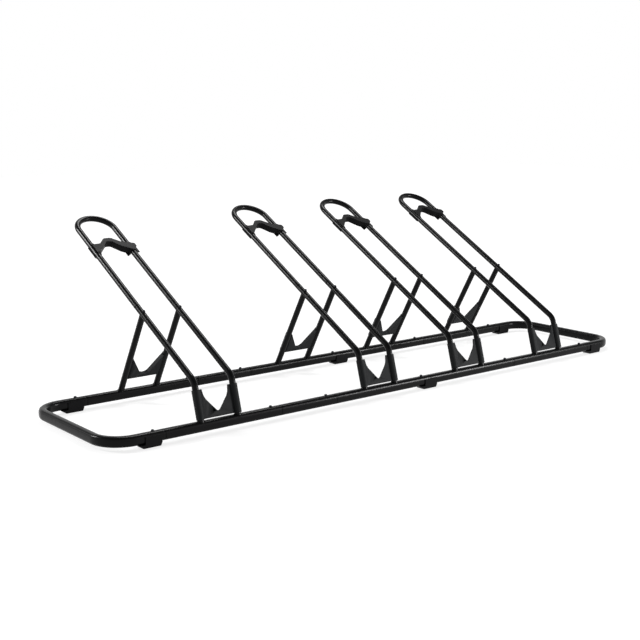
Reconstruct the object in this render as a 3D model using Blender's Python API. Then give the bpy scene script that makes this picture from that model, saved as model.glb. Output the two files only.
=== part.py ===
"""Floor rack that holds four bicycles by their front wheels.

A long flat frame of rail tube lies on six plastic feet. Four wheel holders stand on
it. Each has two bent legs on the front rail, a bent loop that runs on from them, two
struts on the back rail, two V plates that the tyre drops into, and a clip that slides
along the legs to meet wheels of different sizes.

Metres, +Z up. X runs along the rack, Y from the front rail to the back rail, and the
origin is the middle of the rack's outline on the floor.
"""

import bmesh
import bpy
from math import cos, pi, radians, sin, sqrt, tan
from mathutils import Matrix, Vector

# Plan of the frame
END_TO_END = 1.776
RAIL_SPACING = 0.380
LEFT_ARM = 0.142
MODULE = 0.3325
SPACER = 0.174
HOLDER_FROM_SEAM = 0.154
END_BEND_RADIUS = 0.068

# Rail tube, a flat sided oval
RAIL_WIDTH = 0.022
RAIL_HEIGHT = 0.0256
RAIL_CORNER = 0.0072
WALL = 0.0014
SOLE = 0.0081
RAIL_Z = SOLE + RAIL_HEIGHT / 2
RAIL_TOP = SOLE + RAIL_HEIGHT

# Joints between tubes
GAP = 0.0003
SEAM_GAP = 0.0005
SPIGOT = 0.045
BOLT_FROM_SEAM = 0.029
THROAT = 0.006

# Legs, loops and struts, round tube
TUBE = 0.008
LEG_SPREAD = 0.0526
LEG_DEPTH = 0.008
LEG_CORNER = Vector((0.0, 0.0266, 0.1249))
LEG_BEND_RADIUS = 0.035
LEG_RISE = radians(28.9)
LEG_SEAM = 0.290
LOOP_CENTRE = 0.629
STRUT_AT = LEG_SEAM - BOLT_FROM_SEAM
STRUT_FORWARD = 0.0015
STRUT_DEPTH = 0.009
PLUG = 0.016

# Bolts
BOLT_RADIUS = 0.0025
BOLT_HOLE = 0.0029
HEAD_RADIUS = 0.004
HEAD_HEIGHT = 0.0042
RAIL_BOLT = 0.012
LEG_BOLT = 2 * TUBE + 0.012

# Feet
FOOT_LENGTH = 0.0437
FOOT_HEIGHT = 0.0265
FOOT_WALL = 0.002
FOOT_RAMP = 0.017
FOOT_TOE = 0.0115
FOOT_HEEL = 0.004
FOOT_PLACES = (-0.779, 0.091, 0.795)

# V plates. A notch is its centre's height, its radius and half its angle, and a grip is the
# part of its tube that a sleeve wraps, counted from the tube's inner side.
SLEEVE_WALL = 0.002
FRONT_PLATE = 0.004
FRONT_PLATE_LOW = 0.0032
FRONT_PLATE_HIGH = 0.0737
FRONT_NOTCH_SIDE = ((-0.0375, FRONT_PLATE_HIGH), (-0.0345, 0.058), (-0.030, 0.0485))
FRONT_NOTCH = (0.0262, 0.0085, radians(42))
FRONT_GRIP = (radians(-70), radians(200))
REAR_PLATE = 0.011
REAR_PLATE_LOW = 0.040
REAR_PLATE_HIGH = 0.104
REAR_NOTCH = (0.0655, 0.017, radians(52))
REAR_GRIP = (radians(35), radians(-105))

# Wheel clip. Its own x runs across, y uphill along the legs and z square to both. The
# corners of its outline are (x, y, radius), and a lip runs from its root to its tip, both
# (x, z) from the middle of the right leg.
CLIP_PLACES = (0.5375, 0.5615, 0.5545, 0.571)
CLIP_UPHILL = ((-0.0545, 0.0160, 0), (-0.0308, 0.0178, 0.008), (-0.0115, 0.0386, 0.013),
               (0.0090, 0.0386, 0.013), (0.0305, 0.0185, 0.012), (0.0662, 0.0060, 0.004))
CLIP_DOWNHILL = ((0.0666, -0.0070, 0.008), (0.0510, -0.0195, 0.003), (0.0250, -0.0020, 0.015),
                 (0.0055, 0.0238, 0.009), (-0.0090, 0.0238, 0.009), (-0.0470, -0.0170, 0),
                 (-0.0545, -0.0170, 0))
CLIP_TOP = 0.0106
BAND_UNDER = -0.008
TONGUE_UNDER = 0.007
LEFT_JAW = (-0.0205, 0.0205)
LEFT_GRIP = (radians(-165), radians(97))
RIGHT_JAW = (-0.0205, 0.0135)
RIGHT_GRIP = (radians(-32), radians(184))
LIP = 0.0018
INNER_LIP = ((-0.0085, -0.0050), (-0.0135, -0.0098))
OUTER_LIP = ((0.0094, -0.0005), (0.0168, -0.0005))

# Sides of the round shapes
TUBE_SIDES = 12
BOLT_SIDES = 8
CORNER_STEPS = 2
LEG_BEND_STEPS = 3
END_BEND_STEPS = 5
LOOP_STEPS = 12
NOTCH_STEPS = 6
SLEEVE_STEPS = 10
CLIP_CORNER_STEPS = 3
LIP_STEPS = 4

UP = Vector((0, 0, 1))
ACROSS = Vector((1, 0, 0))
LEG_WAY = Vector((0, cos(LEG_RISE), sin(LEG_RISE)))
LEG_NORMAL = Vector((0, -sin(LEG_RISE), cos(LEG_RISE)))
LEG_FOOT = Vector((0, 0, RAIL_TOP))
STRUT_FOOT = Vector((0, RAIL_SPACING - STRUT_FORWARD, RAIL_TOP))
STRUT_HEAD = LEG_CORNER + LEG_WAY * STRUT_AT
STRUT_WAY = (STRUT_HEAD - STRUT_FOOT).normalized()
SLEEVE_INNER = TUBE + GAP
SLEEVE_OUTER = SLEEVE_INNER + SLEEVE_WALL
WEB_EDGE = LEG_SPREAD - (SLEEVE_INNER + SLEEVE_OUTER) / 2

LEFT_END = -END_TO_END / 2
FRONT_MOST = -(RAIL_WIDTH / 2 + GAP + FOOT_WALL)
BACK_MOST = (LEG_CORNER + LEG_WAY * (LOOP_CENTRE + LEG_SPREAD)).y + TUBE
ORIGIN_Y = (FRONT_MOST + BACK_MOST) / 2


def clear_scene():
    for item in list(bpy.data.objects):
        bpy.data.objects.remove(item, do_unlink=True)


def material(name, colour, roughness, metallic=0.0):
    made = bpy.data.materials.new(name)
    made.use_nodes = True
    shader = made.node_tree.nodes["Principled BSDF"]
    shader.inputs["Base Color"].default_value = (*colour, 1)
    shader.inputs["Roughness"].default_value = roughness
    shader.inputs["Metallic"].default_value = metallic
    return made


def powder_coat():
    return material("powder_coated_steel", (0.012, 0.012, 0.013), 0.38)


def moulded_plastic():
    return material("moulded_plastic", (0.02, 0.02, 0.021), 0.55)


def black_zinc():
    return material("black_zinc", (0.03, 0.03, 0.032), 0.35, 0.8)


def object_from(bm, name, look):
    """Turns a bmesh into a named object with its faces out and its round sides smooth."""
    bmesh.ops.recalc_face_normals(bm, faces=bm.faces)
    mesh = bpy.data.meshes.new(name)
    bm.to_mesh(mesh)
    bm.free()
    mesh.materials.append(look)
    made = bpy.data.objects.new(name, mesh)
    bpy.context.scene.collection.objects.link(made)
    return made


def combine(target, tool, operation):
    """Joins the tool to the target, or cuts it out, and removes the tool."""
    modifier = target.modifiers.new("combine", "BOOLEAN")
    modifier.operation = operation
    modifier.solver = "EXACT"
    modifier.object = tool
    graph = bpy.context.evaluated_depsgraph_get()
    shaped = bpy.data.meshes.new_from_object(target.evaluated_get(graph))
    target.modifiers.clear()
    target.data = shaped
    bpy.data.objects.remove(tool, do_unlink=True)


def place(pattern, name, location, rotation=(0, 0, 0)):
    """A copy of the pattern under its own name, which shares the pattern's mesh."""
    made = bpy.data.objects.new(name, pattern.data)
    made.location = location
    made.rotation_euler = rotation
    bpy.context.scene.collection.objects.link(made)
    return made


def finish_pattern(pattern):
    """Smooths the pattern's round sides, keeps its mesh for the copies and drops the object."""
    pattern.data.shade_smooth()
    pattern.data.set_sharp_from_angle(angle=radians(35))
    bpy.context.scene.collection.objects.unlink(pattern)
    return pattern


def round_outline(radius, sides=TUBE_SIDES):
    turns = [2 * pi * (i + 0.5) / sides for i in range(sides)]
    return [(radius * cos(a), radius * sin(a)) for a in turns]


def oval_outline(inset):
    """The rail's section, drawn in by inset: straight sides and rounded corners."""
    across = RAIL_WIDTH / 2 - RAIL_CORNER
    high = RAIL_HEIGHT / 2 - RAIL_CORNER
    radius = RAIL_CORNER - inset
    points = []
    for quarter, (sx, sz) in enumerate(((1, 1), (-1, 1), (-1, -1), (1, -1))):
        for step in range(CORNER_STEPS + 1):
            a = (quarter + step / CORNER_STEPS) * pi / 2
            points.append((sx * across + radius * cos(a), sz * high + radius * sin(a)))
    return points


def rounded_path(corners, radius, steps):
    """The polyline through the corners with each inner corner turned on an arc."""
    path = [corners[0]]
    for before, corner, after in zip(corners, corners[1:], corners[2:]):
        back = (before - corner).normalized()
        on = (after - corner).normalized()
        half = back.angle(on) / 2
        centre = corner + (back + on).normalized() * (radius / sin(half))
        start = corner + back * (radius / tan(half)) - centre
        end = corner + on * (radius / tan(half)) - centre
        turn = start.angle(end)
        for step in range(steps + 1):
            share = step / steps
            blend = start * sin((1 - share) * turn) + end * sin(share * turn)
            path.append(centre + blend / sin(turn))
    path.append(corners[-1])
    return path


def rings_along(bm, stations, normal):
    """One ring of vertices for each (point, outline), square to the way the points run."""
    points = [point for point, outline in stations]
    rings = []
    for i, (point, outline) in enumerate(stations):
        before = next((p for p in reversed(points[:i]) if (p - point).length > 1e-6), point)
        after = next((p for p in points[i + 1:] if (p - point).length > 1e-6), point)
        tangent = (after - point).normalized() + (point - before).normalized()
        side = tangent.cross(normal).normalized()
        rings.append([bm.verts.new(point + side * a + normal * b) for a, b in outline])
    return rings


def skin(bm, rings):
    for lower, upper in zip(rings, rings[1:]):
        for i in range(len(lower)):
            j = (i + 1) % len(lower)
            bm.faces.new((lower[i], lower[j], upper[j], upper[i]))


def tube_object(name, look, normal, outside, inside):
    """A hollow tube from the stations of its outer and of its inner skin, open at both ends."""
    bm = bmesh.new()
    outer = rings_along(bm, outside, normal)
    inner = rings_along(bm, inside, normal)
    skin(bm, outer)
    skin(bm, inner)
    skin(bm, [outer[0], inner[0]])
    skin(bm, [outer[-1], inner[-1]])
    return object_from(bm, name, look)


def prism_object(name, look, outline, low, high, matrix):
    """The outline of (x, v) points, thick from low to high, put in place by the matrix."""
    bm = bmesh.new()
    bottom = [bm.verts.new((x, v, low)) for x, v in outline]
    top = [bm.verts.new((x, v, high)) for x, v in outline]
    skin(bm, [bottom, top])
    bm.faces.new(bottom)
    bm.faces.new(top)
    bmesh.ops.transform(bm, matrix=matrix, verts=bm.verts)
    return object_from(bm, name, look)


def turned_object(name, look, profile, matrix, sides=BOLT_SIDES):
    """The profile of (radius, height) points turned about the matrix's Z axis."""
    bm = bmesh.new()
    rings = []
    for radius, height in profile:
        rings.append([bm.verts.new((a, b, height)) for a, b in round_outline(radius, sides)])
    skin(bm, rings)
    bm.faces.new(rings[0])
    bm.faces.new(rings[-1])
    bmesh.ops.transform(bm, matrix=matrix, verts=bm.verts)
    return object_from(bm, name, look)


def axis_matrix(origin, axis):
    """Puts a shape turned about Z at the origin, with Z along the axis."""
    return Matrix.Translation(origin) @ UP.rotation_difference(axis).to_matrix().to_4x4()


def plane_matrix(origin, along):
    """Puts (x, v) shapes in the plane of X and along, with Z towards the plane's front or top."""
    normal = ACROSS.cross(along)
    turn = Matrix((ACROSS, along, normal)).transposed().to_4x4()
    return Matrix.Translation(origin) @ turn


def drill(target, origin, axis, start, end):
    """Cuts a bolt hole along the axis from start to end, counted from the origin."""
    profile = ((BOLT_HOLE, start), (BOLT_HOLE, end))
    tool = turned_object("drill", target.data.materials[0], profile, axis_matrix(origin, axis))
    combine(target, tool, "DIFFERENCE")


def rail_stations(start, end):
    """Outer and inner stations of a rail with a spigot at its left end, along X."""
    spigot = oval_outline(WALL + GAP)
    bore = oval_outline(2 * WALL + GAP)
    at = [Vector((x, 0, 0)) for x in (start - SPIGOT, start + SEAM_GAP / 2, end - SEAM_GAP / 2)]
    outside = [(at[0], spigot), (at[1], spigot), (at[1], oval_outline(0)), (at[2], oval_outline(0))]
    throat = Vector((start + THROAT, 0, 0))
    inside = [(at[0], bore), (throat, bore), (throat + ACROSS * WALL, oval_outline(WALL)),
              (at[2], oval_outline(WALL))]
    return outside, inside


def plain_rail(name, look, start, end):
    """A rail about the X axis, drilled for the bolts at its spigot and at its open end."""
    made = tube_object(name, look, UP, *rail_stations(start, end))
    for x in (start - BOLT_FROM_SEAM, end - BOLT_FROM_SEAM):
        drill(made, Vector((x, 0, 0)), UP, 0, RAIL_HEIGHT)
    return made


def leg_path(side):
    """A lower leg's centre line from inside the rail to the seam with the loop."""
    shift = ACROSS * side * LEG_SPREAD
    foot = LEG_FOOT - (LEG_CORNER - LEG_FOOT).normalized() * LEG_DEPTH
    top = LEG_CORNER + LEG_WAY * (LEG_SEAM - SEAM_GAP / 2)
    return rounded_path([foot + shift, LEG_CORNER + shift, top + shift], LEG_BEND_RADIUS, LEG_BEND_STEPS)


def front_rail(look):
    """The front rail of one module with its two lower legs welded on."""
    made = plain_rail("front_rail", look, -HOLDER_FROM_SEAM, MODULE - HOLDER_FROM_SEAM)
    made.data.transform(Matrix.Translation((0, 0, RAIL_Z)))
    for side in (-1, 1):
        path = leg_path(side)
        outside = [(point, round_outline(TUBE)) for point in path]
        inside = [(point, round_outline(TUBE - WALL)) for point in path]
        combine(made, tube_object("leg", look, ACROSS, outside, inside), "UNION")
        drill(made, STRUT_HEAD + ACROSS * side * LEG_SPREAD, STRUT_WAY, -2 * TUBE, 2 * TUBE)
    return finish_pattern(made)


def strut_stations(shift):
    """Outer and inner stations of a strut, whose top is plugged round the bolt's thread."""
    low = STRUT_FOOT - STRUT_WAY * STRUT_DEPTH + shift
    high = STRUT_HEAD + shift
    plug = high - STRUT_WAY * (TUBE + PLUG)
    outside = [(low, round_outline(TUBE)), (high, round_outline(TUBE))]
    inside = [(low, round_outline(TUBE - WALL)), (plug, round_outline(TUBE - WALL)),
              (plug + STRUT_WAY * WALL, round_outline(BOLT_HOLE)), (high, round_outline(BOLT_HOLE))]
    return outside, inside


def back_rail(look):
    """The back rail of one module with its two struts welded on."""
    made = plain_rail("back_rail", look, -HOLDER_FROM_SEAM, MODULE - HOLDER_FROM_SEAM)
    made.data.transform(Matrix.Translation((0, RAIL_SPACING, RAIL_Z)))
    for side in (-1, 1):
        shift = ACROSS * side * LEG_SPREAD
        strut = tube_object("strut", look, ACROSS, *strut_stations(shift))
        profile = ((TUBE + GAP, -4 * TUBE), (TUBE + GAP, 4 * TUBE))
        leg = turned_object("leg", look, profile, axis_matrix(STRUT_HEAD + shift, LEG_WAY), 16)
        combine(strut, leg, "DIFFERENCE")
        combine(made, strut, "UNION")
    return finish_pattern(made)


def spacer(look):
    """The short rail between the first and the second module."""
    return finish_pattern(plain_rail("spacer", look, 0, SPACER))


def end_frame(look, seam, end, spigots):
    """The U shaped tube at one end of the rack, from the front seam to the back seam."""
    way = 1 if seam > end else -1
    stop = seam - way * SEAM_GAP / 2
    tip = seam + way * SPIGOT if spigots else stop
    front = [Vector((stop, 0, 0)), Vector((end, 0, 0))]
    back = [Vector((end, RAIL_SPACING, 0)), Vector((stop, RAIL_SPACING, 0))]
    path = rounded_path(front + back, END_BEND_RADIUS, END_BEND_STEPS)
    outside = [(point, oval_outline(0)) for point in path]
    inside = [(point, oval_outline(WALL)) for point in path]
    if spigots:
        tips = [Vector((tip, 0, 0)), Vector((tip, RAIL_SPACING, 0))]
        thin = [(tips[0], oval_outline(WALL + GAP)), (path[0], oval_outline(WALL + GAP))]
        last = [(path[-1], oval_outline(WALL + GAP)), (tips[1], oval_outline(WALL + GAP))]
        outside = thin + outside + last
        bore = oval_outline(2 * WALL + GAP)
        throat = [path[0] - ACROSS * way * THROAT, path[-1] - ACROSS * way * THROAT]
        wide = [throat[0] - ACROSS * way * WALL, throat[1] - ACROSS * way * WALL]
        inside[0:1] = [(tips[0], bore), (throat[0], bore), (wide[0], oval_outline(WALL))]
        inside[-1:] = [(wide[1], oval_outline(WALL)), (throat[1], bore), (tips[1], bore)]
    made = tube_object("end", look, UP, outside, inside)
    for y in (0, RAIL_SPACING):
        drill(made, Vector((seam - BOLT_FROM_SEAM, y, 0)), UP, 0, RAIL_HEIGHT)
    return finish_pattern(made)


def loop_path():
    """The loop's centre line from seam to seam, in the plane of the legs."""
    centre = LEG_CORNER + LEG_WAY * LOOP_CENTRE
    start = LEG_CORNER + LEG_WAY * (LEG_SEAM + SEAM_GAP / 2)
    turns = [pi * i / LOOP_STEPS for i in range(LOOP_STEPS + 1)]
    arc = [centre + (ACROSS * cos(a) + LEG_WAY * sin(a)) * LEG_SPREAD for a in turns]
    return [start + ACROSS * LEG_SPREAD] + arc + [start - ACROSS * LEG_SPREAD]


def wheel_loop(look):
    """The upper part of both legs, one tube bent round, with a spigot at each end."""
    path = loop_path()
    tips = [path[0] - LEG_WAY * SPIGOT, path[-1] - LEG_WAY * SPIGOT]
    throat = [path[0] + LEG_WAY * THROAT, path[-1] + LEG_WAY * THROAT]
    wide = [throat[0] + LEG_WAY * WALL, throat[1] + LEG_WAY * WALL]
    spigot = round_outline(TUBE - WALL - GAP)
    bore = round_outline(TUBE - 2 * WALL - GAP)
    outside = [(point, round_outline(TUBE)) for point in path]
    outside = [(tips[0], spigot), (path[0], spigot)] + outside + [(path[-1], spigot), (tips[1], spigot)]
    inside = [(point, round_outline(TUBE - WALL)) for point in path[1:-1]]
    inside = [(tips[0], bore), (throat[0], bore), (wide[0], round_outline(TUBE - WALL))] + inside
    inside += [(wide[1], round_outline(TUBE - WALL)), (throat[1], bore), (tips[1], bore)]
    made = tube_object("wheel_loop", look, LEG_NORMAL, outside, inside)
    for side in (-1, 1):
        drill(made, STRUT_HEAD + ACROSS * side * LEG_SPREAD, STRUT_WAY, -2 * TUBE, 2 * TUBE)
    return finish_pattern(made)


def bolt(look, length, matrix):
    """A bolt with a low domed head, its shank running down from the origin."""
    profile = ((BOLT_RADIUS, -length), (BOLT_RADIUS, GAP), (HEAD_RADIUS, GAP),
               (HEAD_RADIUS, GAP + 0.6 * HEAD_HEIGHT), (0.6 * HEAD_RADIUS, GAP + HEAD_HEIGHT))
    return finish_pattern(turned_object("bolt", look, profile, matrix))


def foot(look):
    """A shoe that wraps the rail's sides and under side, with a ramp at its left end."""
    half = FOOT_LENGTH / 2
    outline = [(-half - FOOT_RAMP, SOLE), (-half - FOOT_RAMP + FOOT_TOE, 0), (half - FOOT_HEEL, 0),
               (half, SOLE), (half, FOOT_HEIGHT), (-half, FOOT_HEIGHT), (-half, SOLE)]
    width = RAIL_WIDTH / 2 + GAP + FOOT_WALL
    made = prism_object("foot", look, outline, -width, width, plane_matrix(Vector(), UP))
    reach = FOOT_LENGTH
    rail = [(Vector((x, 0, RAIL_Z)), oval_outline(-GAP)) for x in (-reach, reach)]
    bm = bmesh.new()
    rings = rings_along(bm, rail, UP)
    skin(bm, rings)
    bm.faces.new(rings[0])
    bm.faces.new(rings[1])
    combine(made, object_from(bm, "rail", look), "DIFFERENCE")
    return finish_pattern(made)


def sleeve_outline(side, grip):
    """A split ring round one leg. Its turns are counted from the inner side towards +normal."""
    start, end = grip
    turns = [start + (end - start) * i / SLEEVE_STEPS for i in range(SLEEVE_STEPS + 1)]
    ring = [(SLEEVE_OUTER * cos(a), SLEEVE_OUTER * sin(a)) for a in turns]
    ring += [(SLEEVE_INNER * cos(a), SLEEVE_INNER * sin(a)) for a in reversed(turns)]
    return [(side * (LEG_SPREAD - x), w) for x, w in ring]


def notch_arc(centre, radius, spread):
    """Points on the rounded bottom of a notch, from its left side to its right side."""
    turns = [-pi / 2 - spread + 2 * spread * i / NOTCH_STEPS for i in range(NOTCH_STEPS + 1)]
    return [(radius * cos(a), centre + radius * sin(a)) for a in turns]


def v_plate(name, look, matrix, thick, span, notch, grip):
    """A V plate: a notched web in the plane of two tubes and a split sleeve on each."""
    low, high = span
    web = [(-WEB_EDGE, high)] + notch + [(WEB_EDGE, high), (WEB_EDGE, low), (-WEB_EDGE, low)]
    made = prism_object(name, look, web, -thick / 2, thick / 2, matrix)
    # The sleeves' outlines lie in the plane of X and the plate's normal.
    section = matrix @ Matrix.Rotation(pi / 2, 4, "X")
    for side in (-1, 1):
        sleeve = prism_object("sleeve", look, sleeve_outline(side, grip), -high, -low, section)
        combine(made, sleeve, "UNION")
    return finish_pattern(made)


def front_v_plate(look):
    """The plate between the lower legs. Its sleeves clip on from the front."""
    matrix = plane_matrix(LEG_FOOT, (LEG_CORNER - LEG_FOOT).normalized())
    right = [(-x, v) for x, v in reversed(FRONT_NOTCH_SIDE)]
    notch = list(FRONT_NOTCH_SIDE) + notch_arc(*FRONT_NOTCH) + right
    span = (FRONT_PLATE_LOW, FRONT_PLATE_HIGH)
    return v_plate("front_v_plate", look, matrix, FRONT_PLATE, span, notch, FRONT_GRIP)


def rear_v_plate(look):
    """The thicker plate between the struts. Its sleeves hold the struts from behind."""
    matrix = plane_matrix(STRUT_FOOT, STRUT_WAY)
    span = (REAR_PLATE_LOW, REAR_PLATE_HIGH)
    return v_plate("rear_v_plate", look, matrix, REAR_PLATE, span, notch_arc(*REAR_NOTCH), REAR_GRIP)


def rounded_outline(corners):
    """A closed outline through (x, y, radius) corners, each turned on its radius."""
    outline = []
    for before, corner, after in zip(corners[-1:] + corners[:-1], corners, corners[1:] + corners[:1]):
        x, y, radius = corner
        if radius:
            bend = [Vector((*point[:2], 0)) for point in (before, corner, after)]
            outline += [(p.x, p.y) for p in rounded_path(bend, radius, CLIP_CORNER_STEPS)[1:-1]]
        else:
            outline.append((x, y))
    return outline


def lip_outline(root, tip):
    """A flat bar beside the right leg, from root to tip, with a round end at its tip."""
    root = Vector(root) + Vector((LEG_SPREAD, 0))
    tip = Vector(tip) + Vector((LEG_SPREAD, 0))
    way = (tip - root).normalized() * LIP
    across = way.orthogonal()
    turns = [pi * i / LIP_STEPS for i in range(LIP_STEPS + 1)]
    end = [tip + across * cos(a) + way * sin(a) for a in turns]
    return [tuple(point) for point in [root + across] + end + [root - across]]


def wheel_clip(look):
    """The sliding clip: a band that arches uphill between a jaw on each leg."""
    made = prism_object("wheel_clip", look, rounded_outline(CLIP_UPHILL + CLIP_DOWNHILL),
                        BAND_UNDER, CLIP_TOP, Matrix())
    section = Matrix.Rotation(pi / 2, 4, "X")
    bore = [(LEG_SPREAD + x, z) for x, z in round_outline(TUBE + SLEEVE_WALL / 2)]
    left_bore = [(x - 2 * LEG_SPREAD, z) for x, z in bore]
    inside = LEG_SPREAD - TUBE
    past = 2 * LEG_SPREAD
    under_tongue = [(inside, TONGUE_UNDER), (inside, -CLIP_TOP), (past, -CLIP_TOP), (past, TONGUE_UNDER)]
    for outline in (bore, left_bore, under_tongue):
        combine(made, prism_object("hollow", look, outline, -past, past, section), "DIFFERENCE")
    grips = ((sleeve_outline(-1, LEFT_GRIP), LEFT_JAW), (sleeve_outline(1, RIGHT_GRIP), RIGHT_JAW),
             (lip_outline(*INNER_LIP), RIGHT_JAW), (lip_outline(*OUTER_LIP), RIGHT_JAW))
    for outline, (low, high) in grips:
        combine(made, prism_object("grip", look, outline, -high, -low, section), "UNION")
    return finish_pattern(made)


def module_seams():
    """The left seam of each module, from left to right."""
    first = LEFT_END + LEFT_ARM
    return [first] + [first + MODULE * k + SPACER for k in (1, 2, 3)]


def all_seams():
    starts = module_seams()
    return [starts[0], starts[0] + MODULE] + starts[1:] + [starts[-1] + MODULE]


def build_frame(steel, plastic, zinc):
    seams = all_seams()
    rails = ((front_rail(steel), "front"), (back_rail(steel), "back"))
    for k, start in enumerate(module_seams(), 1):
        for pattern, row in rails:
            place(pattern, f"{row}_rail_{k}", (start + HOLDER_FROM_SEAM, -ORIGIN_Y, 0))
    short = spacer(steel)
    shoe = foot(plastic)
    screw = bolt(zinc, RAIL_BOLT, Matrix.Translation((0, 0, RAIL_TOP)))
    for row, y in (("front", 0), ("back", RAIL_SPACING)):
        place(short, f"{row}_spacer", (seams[1], y - ORIGIN_Y, RAIL_Z))
        for k, x in enumerate(FOOT_PLACES, 1):
            place(shoe, f"{row}_foot_{k}", (x, y - ORIGIN_Y, 0))
        for k, seam in enumerate(seams, 1):
            place(screw, f"{row}_rail_bolt_{k}", (seam - BOLT_FROM_SEAM, y - ORIGIN_Y, 0))
    ends = ((seams[0], LEFT_END, False, "end_frame_left"), (seams[-1], -LEFT_END, True, "end_frame_right"))
    for seam, end, spigots, name in ends:
        place(end_frame(steel, seam, end, spigots), name, (0, -ORIGIN_Y, RAIL_Z))


def build_holders(steel, plastic, zinc):
    top = STRUT_HEAD + STRUT_WAY * TUBE
    leg_bolt = bolt(zinc, LEG_BOLT, axis_matrix(top, STRUT_WAY))
    patterns = ((wheel_loop(steel), "wheel_loop"), (front_v_plate(plastic), "front_v_plate"),
                (rear_v_plate(plastic), "rear_v_plate"))
    clip = wheel_clip(plastic)
    for k, start in enumerate(module_seams(), 1):
        x = start + HOLDER_FROM_SEAM
        for pattern, name in patterns:
            place(pattern, f"{name}_{k}", (x, -ORIGIN_Y, 0))
        for side, word in ((-1, "left"), (1, "right")):
            place(leg_bolt, f"leg_bolt_{word}_{k}", (x + side * LEG_SPREAD, -ORIGIN_Y, 0))
        at = LEG_CORNER + LEG_WAY * CLIP_PLACES[k - 1]
        place(clip, f"wheel_clip_{k}", (x, at.y - ORIGIN_Y, at.z), (LEG_RISE, 0, 0))


def main():
    clear_scene()
    steel = powder_coat()
    plastic = moulded_plastic()
    zinc = black_zinc()
    build_frame(steel, plastic, zinc)
    build_holders(steel, plastic, zinc)


main()
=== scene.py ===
"""Dresses a floor rack for four bicycles.

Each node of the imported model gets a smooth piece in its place: bent and welded tube in
powder coat, moulded plates, sliding clips and feet, and black screws.

Metres, +Z up. X runs along the rack and Y from the front rail to the back rail.
"""

from math import atan2, copysign, cos, pi, radians, sin, tan

import bpy
from bpy.props import FloatProperty, FloatVectorProperty, IntProperty, PointerProperty
from bpy.types import Operator, Panel, PropertyGroup
from mathutils import Matrix, Vector


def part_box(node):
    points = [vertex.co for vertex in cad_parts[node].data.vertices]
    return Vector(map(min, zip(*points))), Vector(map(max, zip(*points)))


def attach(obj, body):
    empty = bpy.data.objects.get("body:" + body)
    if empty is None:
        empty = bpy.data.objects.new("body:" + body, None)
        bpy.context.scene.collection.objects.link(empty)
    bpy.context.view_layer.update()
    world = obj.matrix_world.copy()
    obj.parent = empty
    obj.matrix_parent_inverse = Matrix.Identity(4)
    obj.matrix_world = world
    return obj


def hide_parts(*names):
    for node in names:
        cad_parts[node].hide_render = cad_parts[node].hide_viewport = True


bl_info = {
    "name": "Four Bicycle Floor Rack",
    "version": (1, 0, 0),
    "blender": (4, 5, 0),
    "location": "3D View > Sidebar > Bicycle Rack",
    "description": "Builds the dressed pieces of a floor rack that holds four bicycles",
    "category": "Add Mesh",
}

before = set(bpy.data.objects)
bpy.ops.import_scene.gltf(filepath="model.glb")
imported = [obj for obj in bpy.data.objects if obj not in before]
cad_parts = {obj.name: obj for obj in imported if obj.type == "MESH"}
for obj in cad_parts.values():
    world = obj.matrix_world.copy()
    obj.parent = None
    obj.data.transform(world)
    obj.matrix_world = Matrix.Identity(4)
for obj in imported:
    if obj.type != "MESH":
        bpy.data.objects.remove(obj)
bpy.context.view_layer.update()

UP = Vector((0, 0, 1))
ACROSS = Vector((1, 0, 0))
DEEP = Vector((0, 1, 0))
SIDES = {"left": -1, "right": 1}
HOLDERS = (1, 2, 3, 4)
FEET = (1, 2, 3)
RAIL_BOLTS = (1, 2, 3, 4, 5, 6)

# The rails, read from the frame
SPACER_LOW, SPACER_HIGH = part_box("front_spacer")
RAIL_WIDTH = SPACER_HIGH.y - SPACER_LOW.y
RAIL_HEIGHT = SPACER_HIGH.z - SPACER_LOW.z
RAIL_Z = (SPACER_LOW.z + SPACER_HIGH.z) / 2
RAIL_TOP = SPACER_HIGH.z
FRONT_Y = (SPACER_LOW.y + SPACER_HIGH.y) / 2
RAIL_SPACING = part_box("back_spacer")[0].y - SPACER_LOW.y
BACK_Y = FRONT_Y + RAIL_SPACING
# How far each row of feet and screws lies behind the front rail
ROWS = {"front": 0, "back": RAIL_SPACING}
# How square the rail's section is: 2 is an ellipse, and more brings it nearer to its box
RAIL_SQUARENESS = 3.0

# Tubes and their joints. GAP is left between a piece and the one it slides into or onto.
TUBE_RADIUS = 0.008
SLEEVE_WALL = 0.002
GAP = 0.0003
SOLID_SEAM_GAP = 0.0005
# Twice the gap of the solids, so that a seam shows at the scale of the photograph
SEAM_GAP = 2 * SOLID_SEAM_GAP
SPIGOT = 0.045
BOLT_FROM_SEAM = 0.029
BOLT_HOLE = 0.0029
PLUG = 0.016

# Centre lines of the legs and struts of the holder at x = 0. A foot is where the line meets the
# rail's upper side, and a depth is how far the tube goes on into the rail. The seam and the
# centre of the loop's bend are counted uphill from the leg's corner.
LEG_SPREAD = 0.0526
LEG_RISE = radians(28.9)
LEG_FOOT = Vector((0, FRONT_Y, RAIL_TOP))
LEG_DEPTH = 0.008
LEG_CORNER = Vector((0, FRONT_Y + 0.0266, 0.1249))
LEG_WAY = Vector((0, cos(LEG_RISE), sin(LEG_RISE)))
LEG_NORMAL = Vector((0, -sin(LEG_RISE), cos(LEG_RISE)))
LOWER_WAY = (LEG_CORNER - LEG_FOOT).normalized()
LEG_SEAM = 0.290
LOOP_CENTRE = 0.629
STRUT_FORWARD = 0.0015
STRUT_FOOT = Vector((0, BACK_Y - STRUT_FORWARD, RAIL_TOP))
STRUT_DEPTH = 0.009
STRUT_HEAD = LEG_CORNER + LEG_WAY * (LEG_SEAM - BOLT_FROM_SEAM)
STRUT_WAY = (STRUT_HEAD - STRUT_FOOT).normalized()

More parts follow.
